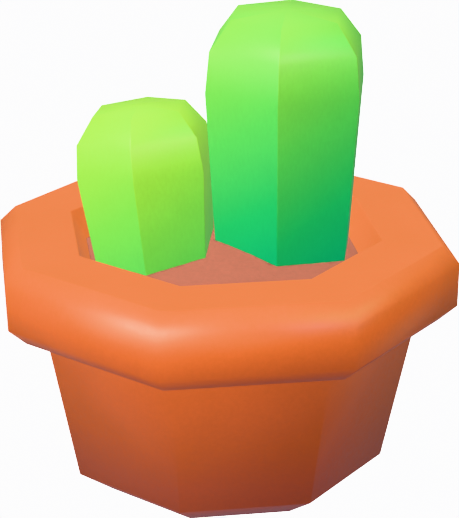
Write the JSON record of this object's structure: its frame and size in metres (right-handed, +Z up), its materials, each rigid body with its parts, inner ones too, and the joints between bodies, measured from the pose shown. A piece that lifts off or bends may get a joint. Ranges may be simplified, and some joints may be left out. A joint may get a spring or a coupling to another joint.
{
  "type": "potted columnar cacti",
  "caption": "A tall and a short ribbed column cactus growing from mounded soil in a faceted clay pot with a thick chamfered rim, for a desk or shelf.",
  "frame": {"origin": "middle of the pot's foot, on the surface that it stands on", "axes": "+Z up along the pot's axis; -Y out of one flat of the pot, the front, with the short cactus on the -X side and the tall one on the +X side"},
  "size_m": [0.12, 0.12, 0.1311],
  "materials": {
    "clay": "satin",
    "soil": "matte",
    "tall_skin": "satin",
    "short_skin": "satin"
  },
  "bodies": {
    "root": {"pot": "clay", "soil": "soil", "tall_cactus": "tall_skin", "short_cactus": "short_skin"}
  },
  "joints": []
}
